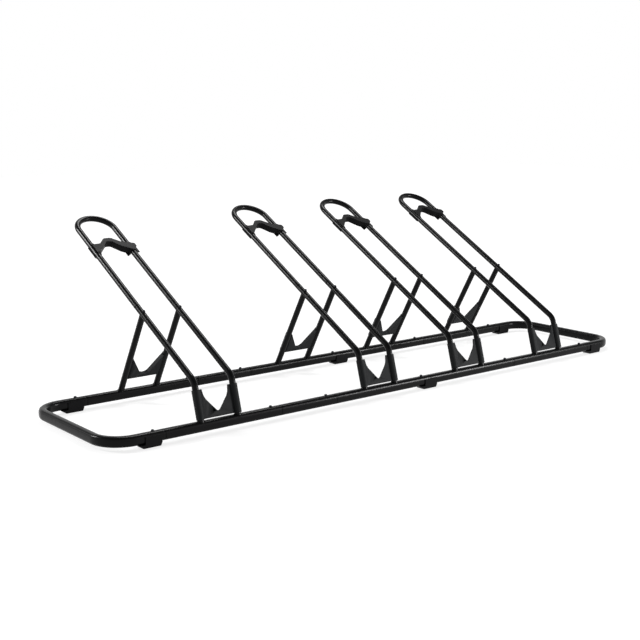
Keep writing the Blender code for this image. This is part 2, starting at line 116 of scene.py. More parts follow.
# V plates, with heights counted from the foot of the tubes that carry them. The front notch's
# left side is (x, height) corners. A notch is its centre's height, its radius and half its
# angle, and a grip is the part of its tube that a sleeve wraps, from the tube's inner side.
FRONT_PLATE_LOW = 0.0032
FRONT_PLATE_HIGH = 0.0737
FRONT_NOTCH_SIDE = ((-0.0375, FRONT_PLATE_HIGH), (-0.0345, 0.058), (-0.030, 0.0485))
FRONT_NOTCH = (0.0262, 0.0085, radians(42))
FRONT_GRIP = (radians(-70), radians(200))
REAR_PLATE_LOW = 0.040
REAR_PLATE_HIGH = 0.104
REAR_NOTCH = (0.0655, 0.017, radians(52))
REAR_GRIP = (radians(35), radians(-105))

# Wheel clip, from the middle between the legs: x runs across, y uphill and z square to both.
# The corners of its outline are (x, y, radius) and a jaw is its ends along its leg. A lip runs
# from its root to its tip, both (x, z) from the middle of the right leg.
CLIP_UPHILL = ((-0.0545, 0.0160, 0), (-0.0308, 0.0178, 0.008), (-0.0115, 0.0386, 0.013),
               (0.0090, 0.0386, 0.013), (0.0305, 0.0185, 0.012), (0.0662, 0.0060, 0.004))
CLIP_DOWNHILL = ((0.0666, -0.0070, 0.008), (0.0510, -0.0195, 0.003), (0.0250, -0.0020, 0.015),
                 (0.0055, 0.0238, 0.009), (-0.0090, 0.0238, 0.009), (-0.0470, -0.0170, 0),
                 (-0.0545, -0.0170, 0))
CLIP_TOP = 0.0106
BAND_UNDER = -0.008
TONGUE_UNDER = 0.007
LEFT_JAW = (-0.0205, 0.0205)
LEFT_GRIP = (radians(-165), radians(97))
RIGHT_JAW = (-0.0205, 0.0135)
RIGHT_GRIP = (radians(-32), radians(184))
INNER_LIP = ((-0.0085, -0.0050), (-0.0135, -0.0098))
OUTER_LIP = ((0.0094, -0.0005), (0.0168, -0.0005))

# Feet: the ramp past the shoe's left end, and how far the sole's ends are drawn in
FOOT_RAMP = 0.017
FOOT_TOE = 0.0115
FOOT_HEEL = 0.004

# Screws. A shank reaches this far into its rail, or past the far side of its leg.
SHANK_RADIUS = 0.0025
SHANK_REACH = 0.012
SOCKET_RADIUS = 0.0015
SCREW_EDGE = 0.00015
# The button head's upright rim and the floor of its socket, as shares of its height
RIM = 0.35
SOCKET_FLOOR = 0.45

# Ripples round a weld bead, and how much thicker they are than the bead
RIPPLES = 18
RIPPLE = 0.12

# Facets round the shapes and along the bends
TUBE_SIDES = 40
DRILL_SIDES = 24
BORE_SIDES = 48
COPE_SIDES = 64
BEAD_SIDES = (72, 10)
LEG_BEND_STEPS = 12
END_BEND_STEPS = 20
LOOP_STEPS = 48
FRONT_NOTCH_STEPS = 12
REAR_NOTCH_STEPS = 16
CORNER_STEPS = 8
SLEEVE_STEP = radians(7)
LIP_STEP = radians(15)
DOME_STEPS = 7
DOME_STEP = radians(10)
# Edges sharper than the first are rounded, and those flatter than the second are shaded smooth
ROUND_FROM = radians(40)
SMOOTH_BELOW = radians(35)

# The finish that each of the frame's material slots gets
FINISHES = {"powder_coat": "sprayed_polyester_coat", "plate_plastic": "moulded_polypropylene",
            "clip_plastic": "moulded_nylon", "foot_plastic": "grained_polypropylene",
            "bolt_steel": "black_zinc"}
# Soft drifts of tone, about 70 mm across, and how far they raise the darkest tone and shift
# the roughness down and up
CLOUDS_PER_METRE = 14.0
CLOUD_LIFT = 0.004
GLOSSIER = 0.05
DULLER = 0.06
# How deep a relief is, as a share of its grain's size
RELIEF_DEPTH = 0.2

# Softboxes: name, place, width, height and watts. The left and the right one stand where the
# round sides of the tubes mirror them to the camera.
SOFTBOXES = (("top", (0.8, 1.0, 2.8), 1.8, 0.7, 60),
             ("left", (-2.5, 1.78, 1.75), 0.45, 0.85, 80),
             ("right", (2.28, -2.64, 0.45), 0.9, 0.7, 82))
LAMP_AIM = Vector((0, 0, 0.15))

# The photograph's viewpoint and angle of view
CAMERA_PLACE = (-2.0716, -2.5412, 0.7871)
CAMERA_TURN = (radians(79.007), 0, radians(-38.638))
LENS = 65.52
SENSOR_WIDTH = 36

# The floor's own tone, and its glow to the eye: less near the rack, and full from far out
FLOOR_SIZE = 16
PAPER = (0.3, 0.3, 0.3, 1)
FLOOR_GLOW = {"From Min": 1.2, "From Max": 4.0, "To Min": 0.76, "To Max": 1.0}
# The backdrop's tone to the eye, by how far up the view points, and the even light it gives
BACKDROP = {"From Min": 0.25, "From Max": 0.62, "To Min": 1.0, "To Max": 0.2}
EVEN_LIGHT = 0.35
WHITE = (1, 1, 1, 1)


def linear(hex_colour):
    """The linear values of an sRGB colour written as #rrggbb."""
    parts = [int(hex_colour[i:i + 2], 16) / 255 for i in (1, 3, 5)]
    return [p / 12.92 if p <= 0.04045 else ((p + 0.055) / 1.055) ** 2.4 for p in parts]


def length(name, metres, words):
    return FloatProperty(name=name, description=words, default=metres, min=0, unit="LENGTH",
                         precision=5)


def colour(name, hex_colour, words):
    return FloatVectorProperty(name=name, description=words, default=linear(hex_colour),
                               subtype="COLOR", size=3, min=0, max=1)


def share(name, value, words):
    return FloatProperty(name=name, description=words, default=value, min=0, max=1,
                         subtype="FACTOR")


class RackSizes(PropertyGroup):
    """Sizes of the tubes, plates, clips, feet and screws."""

    tube_radius: length("Tube radius", TUBE_RADIUS, "Outer radius of the legs, loops and struts")
    wall: length("Tube wall", 0.0014, "Wall thickness of every tube")
    rail_sides: IntProperty(name="Rail sides", description="Facets round the rail's section",
                            default=64, min=16)
    tube_lip: length("Tube lip", 0.00065, "Rounding at the sawn end of a tube")
    leg_bend: length("Leg bend", 0.035, "Radius of the bend in a lower leg")
    end_bend: length("End bend", 0.068, "Radius of the bends in the end frames")
    bead: length("Weld bead", 0.0016, "Radius of the weld where a leg or strut meets its rail")
    sleeve_wall: length("Sleeve wall", SLEEVE_WALL, "Wall of the split sleeves that grip the tubes")
    front_plate: length("Front plate", 0.004, "Thickness of the front V plate")
    rear_plate: length("Rear plate", 0.011, "Thickness of the rear V plate")
    plate_edge: length("Plate edge", 0.0009, "Rounding of the plates' edges")
    head_radius: length("Screw head", 0.004, "Radius of the button heads")
    head_height: length("Head height", 0.0042, "Height of the button heads")
    foot_wall: length("Foot wall", 0.002, "Wall of the shoe round the rail")
    foot_edge: length("Foot edge", 0.0012, "Rounding of the shoe's edges")
    clip_lip: length("Clip lip", 0.0018, "Half the thickness of the lips that snap over a leg")
    clip_edge: length("Clip edge", 0.0011, "Rounding of the clip's edges")


class RackFinish(PropertyGroup):
    """Colours, roughness and shine of the five finishes."""

    coat: colour("Powder coat", "#0b0b0c", "Colour of the tubes")
    coat_roughness: share("Coat roughness", 0.24, "Roughness of the powder coat")
    coat_shine: share("Coat shine", 0.1, "How much the powder coat reflects")
    plate: colour("Plate plastic", "#202122", "Colour of the V plates")
    plate_roughness: share("Plate roughness", 0.55, "Roughness of the V plates")
    clip: colour("Clip plastic", "#101011", "Colour of the sliding clips")
    clip_roughness: share("Clip roughness", 0.5, "Roughness of the sliding clips")
    plastic_shine: share("Plastic shine", 0.08, "How much the plates, clips and feet reflect")
    foot: colour("Foot plastic", "#0e0e0f", "Colour of the feet")
    foot_roughness: share("Foot roughness", 0.68, "Roughness of the feet")
    screw: colour("Black zinc", "#2c2d30", "Colour of the screws")
    screw_roughness: share("Screw roughness", 0.36, "Roughness of the screws")
    screw_shine: share("Screw shine", 0.5, "How much the screws reflect")


def only(piece):
    """Makes the piece the one that is selected and active."""
    bpy.ops.object.select_all(action="DESELECT")
    piece.select_set(True)
    bpy.context.view_layer.objects.active = piece


def enter(piece):
    """Goes to edit mode with all of the piece selected."""
    only(piece)
    bpy.ops.object.mode_set(mode="EDIT")
    bpy.ops.mesh.select_mode(type="VERT")
    bpy.ops.mesh.select_all(action="SELECT")


def open_ring(name, sides, radius, place, axis, fill="NOTHING"):
    """A circle about the axis at its place, in edit mode and all selected."""
    bpy.ops.object.select_all(action="DESELECT")
    turn = UP.rotation_difference(axis).to_euler()
    bpy.ops.mesh.primitive_circle_add(vertices=sides, radius=radius, fill_type=fill,
                                      location=place, rotation=turn)
    piece = bpy.context.object
    piece.name = name
    bpy.ops.object.transform_apply(location=True, rotation=True, scale=True)
    enter(piece)
    return piece


def flat_face(name, points):
    """One face through the points, in edit mode and selected."""
    bpy.ops.object.select_all(action="DESELECT")
    bpy.ops.mesh.primitive_circle_add(vertices=len(points), fill_type="NGON")
    piece = bpy.context.object
    piece.name = name
    for vertex, point in zip(piece.data.vertices, points):
        vertex.co = point
    enter(piece)
    return piece


def run(way):
    """Extrudes what is selected along the way."""
    bpy.ops.mesh.extrude_region_move(TRANSFORM_OT_translate={"value": way})


def neck(scale, centre):
    """Extrudes the selected ring on the spot and scales it about the centre."""
    run((0, 0, 0))
    bpy.ops.transform.resize(value=scale, center_override=centre)


def bend(centre, axis, angle, steps):
    """Sweeps what is selected about the axis, by the right hand rule."""
    bpy.ops.mesh.spin(steps=steps, angle=-angle, center=centre, axis=axis)


def leave(piece):
    """Merges doubles, turns the faces out and goes back to object mode."""
    bpy.ops.mesh.select_all(action="SELECT")
    bpy.ops.mesh.remove_doubles(threshold=1e-6)
    bpy.ops.mesh.normals_make_consistent(inside=False)
    bpy.ops.object.mode_set(mode="OBJECT")
    return piece


def modify(piece, kind, **settings):
    """Adds a modifier with its settings and applies it."""
    only(piece)
    modifier = piece.modifiers.new(kind.lower(), kind)
    for name, value in settings.items():
        setattr(modifier, name, value)
    bpy.ops.object.modifier_apply(modifier=modifier.name)


def combine(piece, tool, operation):
    """Joins the tool to the piece, or cuts it out, and removes the tool."""
    modify(piece, "BOOLEAN", object=tool, operation=operation, solver="EXACT")
    bpy.data.objects.remove(tool, do_unlink=True)


def soften(piece, width, steps=3):
    """Rounds the sharp edges and keeps the flats flat."""
    modify(piece, "BEVEL", width=width, segments=steps, limit_method="ANGLE",
           angle_limit=ROUND_FROM, harden_normals=False, use_clamp_overlap=True)


def smooth(piece):
    """Shades the round sides smooth, led by the large faces."""
    only(piece)
    bpy.ops.object.shade_smooth_by_angle(angle=SMOOTH_BELOW)
    modify(piece, "WEIGHTED_NORMAL", keep_sharp=True, weight=80)


def wall(piece, sizes):
    """Gives an open skin the tube's wall, inwards, and rounds its sawn ends."""
    modify(piece, "SOLIDIFY", thickness=sizes.wall, offset=-1, use_even_offset=True)
    soften(piece, sizes.tube_lip, 2)


def drill(piece, origin, axis, start, end):
    """Cuts a bolt hole along the axis, from start to end counted from the origin."""
    tool = open_ring("drill", DRILL_SIDES, BOLT_HOLE, origin + axis * start, axis, "NGON")
    run(axis * (end - start))
    combine(piece, leave(tool), "DIFFERENCE")


def copy_of(pattern, name, shift):
    """A copy of the pattern with a mesh of its own, moved in its mesh."""
    made = pattern.copy()
    made.data = pattern.data.copy()
    made.name = name
    made.data.transform(Matrix.Translation(shift))
    bpy.context.collection.objects.link(made)
    return made


def fit(piece, node, body, slot):
    """The piece takes the node's place, rides on its body and gets its finish."""
    piece.data.materials.clear()
    piece.data.materials.append(bpy.data.materials[FINISHES[slot]])
    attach(piece, body)
    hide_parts(node)


def fit_row(pattern, word, nodes, slot, bodies=None):
    """Copies of the pattern for {node: shift}, after which the pattern goes."""
    for node, shift in nodes.items():
        body = (bodies or {}).get(node, "frame")
        fit(copy_of(pattern, f"{word}_{node}", shift), node, body, slot)
    bpy.data.objects.remove(pattern, do_unlink=True)


def holder_x(k):
    """The middle of a holder, by its loop."""
    low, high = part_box(f"wheel_loop_{k}")
    return (low.x + high.x) / 2


def holder_row(word):
    """The word's node in each holder, as {node: shift}."""
    return {f"{word}_{k}": ACROSS * holder_x(k) for k in HOLDERS}


def seams(node):
    """The left and the right seam of a rail."""
    low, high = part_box(node)
    return low.x + SPIGOT, high.x + SOLID_SEAM_GAP / 2


def rail_ring(name, place, sizes):
    """The rail's flat sided oval in the plane square to X, in edit mode and selected."""
    outline = []
    for i in range(sizes.rail_sides):
        turn = 2 * pi * (i + 0.5) / sizes.rail_sides
        y, z = (copysign(abs(part) ** (2 / RAIL_SQUARENESS), part) for part in (cos(turn), sin(turn)))
        outline.append(place + Vector((0, y * RAIL_WIDTH / 2, z * RAIL_HEIGHT / 2)))
    piece = flat_face(name, outline)
    bpy.ops.mesh.delete(type="ONLY_FACE")
    bpy.ops.mesh.select_all(action="SELECT")
    return piece


def spigot_scale(sizes):
    """The scale from the rail's ring to the one that slides into the next rail."""
    inset = 2 * (sizes.wall + GAP)
    return 1, 1 - inset / RAIL_WIDTH, 1 - inset / RAIL_HEIGHT


def plain_rail(name, start, end, y, sizes):
    """A straight rail from seam to seam, with a spigot at its left and a hole for each bolt."""
    left = Vector((start + SEAM_GAP / 2, y, RAIL_Z))
    right = Vector((end - SEAM_GAP / 2, y, RAIL_Z))
    piece = rail_ring(name, right, sizes)
    run(left - right)
    neck(spigot_scale(sizes), left)
    run(ACROSS * (start - SPIGOT - left.x))
    wall(leave(piece), sizes)
    for seam in (start, end):
        drill(piece, Vector((seam - BOLT_FROM_SEAM, y, RAIL_Z)), UP, 0, RAIL_HEIGHT)
    return piece


def rail_surface(offset):
    """Height of the rail's upper side at an offset from its centre line."""
    out = min(1, abs(offset) * 2 / RAIL_WIDTH)
    return RAIL_Z + RAIL_HEIGHT / 2 * (1 - out ** RAIL_SQUARENESS) ** (1 / RAIL_SQUARENESS)


def weld(foot, way, y, sizes):
    """A rippled bead along the line where a round tube meets the rail's upper side."""
    bpy.ops.object.select_all(action="DESELECT")
    around, thick = BEAD_SIDES
    bpy.ops.mesh.primitive_torus_add(major_segments=around, minor_segments=thick,
                                     major_radius=sizes.tube_radius, minor_radius=sizes.bead)
    piece = bpy.context.object
    front = way.cross(ACROSS).normalized()
    for vertex in piece.data.vertices:
        turn = atan2(vertex.co.y, vertex.co.x)
        out = ACROSS * cos(turn) + front * sin(turn)
        point = foot + out * sizes.tube_radius
        # Each pass brings the point nearer to the rail along the tube, and four are enough
        for _ in range(4):
            point += way * ((rail_surface(point.y - y) - point.z) / way.z)
        ripple = 1 + RIPPLE * cos(RIPPLES * turn)
        reach = (vertex.co.xy.length - sizes.tube_radius) * ripple
        vertex.co = point + out * reach + way * (vertex.co.z * ripple)
    enter(piece)
    return leave(piece)


class RACK_OT_front_rails(Operator):
    """Adds the four front rails with their lower legs."""

    bl_idname = "rack.front_rails"
    bl_label = "Front rails"

    def execute(self, context):
        sizes = context.scene.rack_sizes
        low, high = seams("front_rail_1")
        x = holder_x(1)
        piece = plain_rail("front_rail", low - x, high - x, FRONT_Y, sizes)
        through = 2 * sizes.tube_radius
        for side in SIDES.values():
            shift = ACROSS * side * LEG_SPREAD
            combine(piece, lower_leg(shift, sizes), "UNION")
            combine(piece, weld(LEG_FOOT + shift, LOWER_WAY, FRONT_Y, sizes), "UNION")
            drill(piece, STRUT_HEAD + shift, STRUT_WAY, -through, through)
        smooth(piece)
        fit_row(piece, "welded", holder_row("front_rail"), "powder_coat")
        return {"FINISHED"}


def lower_leg(shift, sizes):
    """A bent leg from inside the front rail to the seam with its loop."""
    turn = LOWER_WAY.angle(LEG_WAY)
    tangent = sizes.leg_bend * tan(turn / 2)
    foot = LEG_FOOT - LOWER_WAY * LEG_DEPTH
    rise = LEG_CORNER - LOWER_WAY * tangent - foot
    piece = open_ring("leg", TUBE_SIDES, sizes.tube_radius, foot + shift, LOWER_WAY)
    run(rise)
    axis = LOWER_WAY.cross(LEG_WAY).normalized()
    centre = foot + rise + shift + axis.cross(LOWER_WAY) * sizes.leg_bend
    bend(centre, axis, turn, LEG_BEND_STEPS)
    run(LEG_WAY * (LEG_SEAM - SEAM_GAP / 2 - tangent))
    wall(leave(piece), sizes)
    return piece


class RACK_OT_back_rails(Operator):
    """Adds the four back rails with their struts."""

    bl_idname = "rack.back_rails"
    bl_label = "Back rails"

    def execute(self, context):
        sizes = context.scene.rack_sizes
        low, high = seams("back_rail_1")
        x = holder_x(1)
        piece = plain_rail("back_rail", low - x, high - x, BACK_Y, sizes)
        for side in SIDES.values():
            shift = ACROSS * side * LEG_SPREAD
            combine(piece, strut(shift, sizes), "UNION")
            combine(piece, weld(STRUT_FOOT + shift, STRUT_WAY, BACK_Y, sizes), "UNION")
        smooth(piece)
        fit_row(piece, "welded", holder_row("back_rail"), "powder_coat")
        return {"FINISHED"}


def strut(shift, sizes):
    """A straight tube with a threaded plug in its top, coped to sit under the leg."""
    low = STRUT_FOOT - STRUT_WAY * STRUT_DEPTH + shift
    high = STRUT_HEAD + shift
    inner = sizes.tube_radius - sizes.wall
    plug = high - STRUT_WAY * (sizes.tube_radius + PLUG)
    piece = open_ring("strut", TUBE_SIDES, sizes.tube_radius, low, STRUT_WAY)
    run(high - low)
    neck([BOLT_HOLE / sizes.tube_radius] * 3, high)
    run(plug - high)
    neck([inner / BOLT_HOLE] * 3, plug)
    run(low - plug)
    neck([sizes.tube_radius / inner] * 3, low)
    leave(piece)
    half = 4 * sizes.tube_radius
    leg = open_ring("leg", COPE_SIDES, sizes.tube_radius + GAP, high - LEG_WAY * half, LEG_WAY, "NGON")
    run(LEG_WAY * 2 * half)
    combine(piece, leave(leg), "DIFFERENCE")
    return piece


class RACK_OT_spacers(Operator):
    """Adds the two short rails between the first and the second holder."""

    bl_idname = "rack.spacers"
    bl_label = "Spacer rails"

    def execute(self, context):
        sizes = context.scene.rack_sizes
        start, end = seams("front_spacer")
        piece = plain_rail("spacer", start, end, FRONT_Y, sizes)
        smooth(piece)
        nodes = {f"{row}_spacer": DEEP * behind for row, behind in ROWS.items()}
        fit_row(piece, "tube", nodes, "powder_coat")
        return {"FINISHED"}


class RACK_OT_end_frames(Operator):
    """Adds the U shaped tubes at both ends."""

    bl_idname = "rack.end_frames"
    bl_label = "End frames"

    def execute(self, context):
        sizes = context.scene.rack_sizes
        first = seams("front_rail_1")[0]
        last = seams("front_rail_4")[1]
        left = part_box("end_frame_left")[0].x + RAIL_WIDTH / 2
        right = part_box("end_frame_right")[1].x - RAIL_WIDTH / 2
        end_frame("end_frame_left", first, left, False, sizes)
        end_frame("end_frame_right", last, right, True, sizes)
        return {"FINISHED"}


def end_frame(node, seam, end, spigots, sizes):
    """One U of rail tube from the front seam round to the back seam."""
    way = 1 if seam > end else -1
    stop = seam - way * SEAM_GAP / 2
    radius = sizes.end_bend
    front = Vector((stop, FRONT_Y, RAIL_Z))
    back = Vector((stop, BACK_Y, RAIL_Z))
    spigot = ACROSS * (seam + way * SPIGOT - stop)
    arm = end + way * radius - stop
    piece = rail_ring(node, front, sizes)
    if spigots:
        bpy.ops.transform.translate(value=spigot)
        thin = spigot_scale(sizes)
        bpy.ops.transform.resize(value=thin, center_override=front + spigot)
        run(-spigot)
        neck([1 / part for part in thin], front)
    run(ACROSS * arm)
    bend(Vector((stop + arm, FRONT_Y + radius, RAIL_Z)), UP, -way * pi / 2, END_BEND_STEPS)
    run(DEEP * (RAIL_SPACING - 2 * radius))
    bend(Vector((stop + arm, BACK_Y - radius, RAIL_Z)), UP, -way * pi / 2, END_BEND_STEPS)
    run(ACROSS * -arm)
    if spigots:
        neck(thin, back)
        run(spigot)
    wall(leave(piece), sizes)
    for y in (FRONT_Y, BACK_Y):
        drill(piece, Vector((seam - BOLT_FROM_SEAM, y, RAIL_Z)), UP, 0, RAIL_HEIGHT)
    smooth(piece)
    fit_row(piece, "tube", {node: Vector()}, "powder_coat")


class RACK_OT_wheel_loops(Operator):
    """Adds the bent upper part of each pair of legs."""

    bl_idname = "rack.wheel_loops"
    bl_label = "Wheel loops"

    def execute(self, context):
        sizes = context.scene.rack_sizes
        radius = sizes.tube_radius
        spread = ACROSS * LEG_SPREAD
        seam = LEG_CORNER + LEG_WAY * (LEG_SEAM + SEAM_GAP / 2)
        centre = LEG_CORNER + LEG_WAY * LOOP_CENTRE
        thin = (radius - sizes.wall - GAP) / radius
        start = seam - LEG_WAY * SPIGOT + spread
        piece = open_ring("wheel_loop", TUBE_SIDES, radius * thin, start, LEG_WAY)
        run(LEG_WAY * SPIGOT)
        neck([1 / thin] * 3, seam + spread)
        run(centre - seam)
        bend(centre, LEG_NORMAL, pi, LOOP_STEPS)
        run(seam - centre)
        neck([thin] * 3, seam - spread)
        run(LEG_WAY * -SPIGOT)
        wall(leave(piece), sizes)
        for side in SIDES.values():
            drill(piece, STRUT_HEAD + spread * side, STRUT_WAY, -2 * radius, 2 * radius)
        smooth(piece)
        fit_row(piece, "tube", holder_row("wheel_loop"), "powder_coat")
        return {"FINISHED"}


def in_plane(origin, along):
    """Puts (x, v, w) in the plane of X and along, with w towards the plane's front or top."""
    turn = Matrix((ACROSS, along, ACROSS.cross(along))).transposed().to_4x4()
    return Matrix.Translation(origin) @ turn


def sleeve(place, side, low, high, start, end, sizes):
    """A split ring on one leg, from angle start to end, counted from its inner side."""
    inner = sizes.tube_radius + GAP
    outer = inner + sizes.sleeve_wall
    points = []
    for radius, v in ((inner, low), (outer, low), (outer, high), (inner, high)):
        x = side * (LEG_SPREAD - radius * cos(start))
        points.append(place @ Vector((x, v, radius * sin(start))))
    piece = flat_face("sleeve", points)
    axis = place.to_3x3() @ DEEP
    steps = int(abs(end - start) / SLEEVE_STEP)
    bend(place @ Vector((side * LEG_SPREAD, low, 0)), axis, side * (end - start), steps)
    return leave(piece)


def v_plate(name, place, web, thick, ends, grip, sizes):
    """A moulded plate: a web with a notch and a split sleeve on each tube."""
    piece = flat_face(name, [place @ Vector((x, v, -thick / 2)) for x, v in web])
    run(place.to_3x3() @ UP * thick)
    leave(piece)
    for side in SIDES.values():
        combine(piece, sleeve(place, side, *ends, *grip, sizes), "UNION")
    soften(piece, sizes.plate_edge)
    smooth(piece)
    return piece


def notch_arc(centre, radius, spread, steps):
    """The round bottom of a notch, from its left to its right."""
    turns = [-pi / 2 - spread + 2 * spread * i / steps for i in range(steps + 1)]
    return [(radius * cos(a), centre + radius * sin(a)) for a in turns]


def web_edge(sizes):
    """Where a plate's web ends, inside the wall of its sleeve."""
    return LEG_SPREAD - sizes.tube_radius - GAP - sizes.sleeve_wall / 2


class RACK_OT_front_plates(Operator):
    """Adds the V plates between the lower legs."""

    bl_idname = "rack.front_plates"
    bl_label = "Front V plates"

    def execute(self, context):
        sizes = context.scene.rack_sizes
        edge = web_edge(sizes)
        left = [(-edge, FRONT_PLATE_HIGH), *FRONT_NOTCH_SIDE]
        right = [(-x, v) for x, v in reversed(left)]
        web = left + notch_arc(*FRONT_NOTCH, FRONT_NOTCH_STEPS) + right
        web += [(edge, FRONT_PLATE_LOW), (-edge, FRONT_PLATE_LOW)]
        piece = v_plate("front_v_plate", in_plane(LEG_FOOT, LOWER_WAY), web, sizes.front_plate,
                        (FRONT_PLATE_LOW, FRONT_PLATE_HIGH), FRONT_GRIP, sizes)
        fit_row(piece, "moulded", holder_row("front_v_plate"), "plate_plastic")
        return {"FINISHED"}


class RACK_OT_rear_plates(Operator):
    """Adds the thicker V plates between the struts."""

    bl_idname = "rack.rear_plates"
    bl_label = "Rear V plates"

    def execute(self, context):
        sizes = context.scene.rack_sizes
        edge = web_edge(sizes)
        web = [(-edge, REAR_PLATE_HIGH)] + notch_arc(*REAR_NOTCH, REAR_NOTCH_STEPS)
        web += [(edge, REAR_PLATE_HIGH), (edge, REAR_PLATE_LOW), (-edge, REAR_PLATE_LOW)]
        piece = v_plate("rear_v_plate", in_plane(STRUT_FOOT, STRUT_WAY), web, sizes.rear_plate,
                        (REAR_PLATE_LOW, REAR_PLATE_HIGH), REAR_GRIP, sizes)
        fit_row(piece, "moulded", holder_row("rear_v_plate"), "plate_plastic")
        return {"FINISHED"}


class RACK_OT_wheel_clips(Operator):
    """Adds the sliding clips."""

    bl_idname = "rack.wheel_clips"
    bl_label = "Wheel clips"

    def execute(self, context):
        sizes = context.scene.rack_sizes
        piece = wheel_clip(in_plane(LEG_CORNER, LEG_WAY), sizes)
        nodes = {f"wheel_clip_{k}": clip_shift(k) for k in HOLDERS}
        bodies = {f"wheel_clip_{k}": f"clip_{k}" for k in HOLDERS}
        fit_row(piece, "moulded", nodes, "clip_plastic", bodies)
        return {"FINISHED"}


def clip_shift(k):
    """From the corner of the legs to the clip's middle, by the downhill end of the clip's box."""
    low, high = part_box(f"wheel_clip_{k}")
    tip = LEG_WAY * LEFT_JAW[0] - LEG_NORMAL * (TUBE_RADIUS + GAP + SLEEVE_WALL)
    lowest = low.z - LEG_CORNER.z
    return ACROSS * holder_x(k) + LEG_WAY * ((lowest - tip.z) / LEG_WAY.z)


def rounded(corners):
    """A closed outline through (x, y, radius) corners, each turned on its radius."""
    outline = []
    for before, corner, after in zip(corners[-1:] + corners[:-1], corners, corners[1:] + corners[:1]):
        point = Vector(corner[:2])
        radius = corner[2]
        back = (Vector(before[:2]) - point).normalized()
        on = (Vector(after[:2]) - point).normalized()
        if not radius:
            outline.append(point)
            continue
        half = back.angle(on) / 2
        centre = point + (back + on).normalized() * (radius / sin(half))
        start = point + back * (radius / tan(half)) - centre
        end = point + on * (radius / tan(half)) - centre
        shares = [i / CORNER_STEPS for i in range(CORNER_STEPS + 1)]
        outline += [centre + start.slerp(end, part) * radius for part in shares]
    return outline


def cross_section(place, name, outline, low, high):
    """A bar along the legs from low to high, whose section is the outline of (x, z) points."""
    piece = flat_face(name, [place @ Vector((x, low, z)) for x, z in outline])
    run(place.to_3x3() @ DEEP * (high - low))
    return leave(piece)


def lip(place, root, tip, sizes):
    """A flat bar beside the right leg, from root to tip, with a round end at its tip."""
    root = Vector(root) + Vector((LEG_SPREAD, 0))
    tip = Vector(tip) + Vector((LEG_SPREAD, 0))
    way = (tip - root).normalized() * sizes.clip_lip
    across = way.orthogonal()
    turns = [LIP_STEP * i for i in range(round(pi / LIP_STEP) + 1)]
    end = [tip + across * cos(a) + way * sin(a) for a in turns]
    return cross_section(place, "lip", [root + across] + end + [root - across], *RIGHT_JAW)


def wheel_clip(place, sizes):
    """A band that arches uphill between a jaw on the left leg and one on the right."""
    outline = rounded(CLIP_UPHILL + CLIP_DOWNHILL)
    piece = flat_face("wheel_clip", [place @ Vector((x, y, BAND_UNDER)) for x, y in outline])
    run(place.to_3x3() @ UP * (CLIP_TOP - BAND_UNDER))
    leave(piece)
    past = 2 * LEG_SPREAD
    inside = LEG_SPREAD - sizes.tube_radius
    under_tongue = ((inside, TONGUE_UNDER), (inside, -CLIP_TOP), (past, -CLIP_TOP),
                    (past, TONGUE_UNDER))
    combine(piece, cross_section(place, "under_tongue", under_tongue, -past, past), "DIFFERENCE")
    uphill = place.to_3x3() @ DEEP
    for side in SIDES.values():
        radius = sizes.tube_radius + GAP + sizes.sleeve_wall / 2
        start = place @ Vector((side * LEG_SPREAD, -past, 0))
        bore = open_ring("bore", BORE_SIDES, radius, start, uphill, "NGON")
        run(uphill * 2 * past)
        combine(piece, leave(bore), "DIFFERENCE")
    combine(piece, sleeve(place, SIDES["left"], *LEFT_JAW, *LEFT_GRIP, sizes), "UNION")
    combine(piece, sleeve(place, SIDES["right"], *RIGHT_JAW, *RIGHT_GRIP, sizes), "UNION")
    for ends in (INNER_LIP, OUTER_LIP):
        combine(piece, lip(place, *ends, sizes), "UNION")
    soften(piece, sizes.clip_edge)
    smooth(piece)
    return piece


class RACK_OT_feet(Operator):
    """Adds the six shoes under the rails."""

    bl_idname = "rack.feet"
    bl_label = "Feet"

    def execute(self, context):
        sizes = context.scene.rack_sizes
        low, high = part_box("front_foot_1")
        half = (high.x - low.x - FOOT_RAMP) / 2
        piece = foot(half, high.z, sizes)
        nodes = {}
        for row, behind in ROWS.items():
            for k in FEET:
                right_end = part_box(f"{row}_foot_{k}")[1].x
                nodes[f"{row}_foot_{k}"] = Vector((right_end - half, behind, 0))
        fit_row(piece, "moulded", nodes, "foot_plastic")
        return {"FINISHED"}


def foot(half, top, sizes):
    """A shoe round the front rail, half its length to each side of x = 0, with a ramp past it."""
    sole = RAIL_TOP - RAIL_HEIGHT
    ramp = -half - FOOT_RAMP
    outline = [(ramp, sole), (ramp + FOOT_TOE, 0), (half - FOOT_HEEL, 0), (half, sole),
               (half, top), (-half, top), (-half, sole)]
    width = RAIL_WIDTH / 2 + GAP + sizes.foot_wall
    piece = flat_face("foot", [Vector((x, FRONT_Y - width, z)) for x, z in outline])
    run(DEEP * 2 * width)
    leave(piece)
    end = Vector((-2 * half, FRONT_Y, RAIL_Z))
    tool = rail_ring("rail", end, sizes)
    grow = 2 * GAP
    bpy.ops.transform.resize(value=(1, 1 + grow / RAIL_WIDTH, 1 + grow / RAIL_HEIGHT),
                             center_override=end)
    bpy.ops.mesh.edge_face_add()
    run(ACROSS * 4 * half)
    combine(piece, leave(tool), "DIFFERENCE")
    soften(piece, sizes.foot_edge)
    smooth(piece)
    return piece


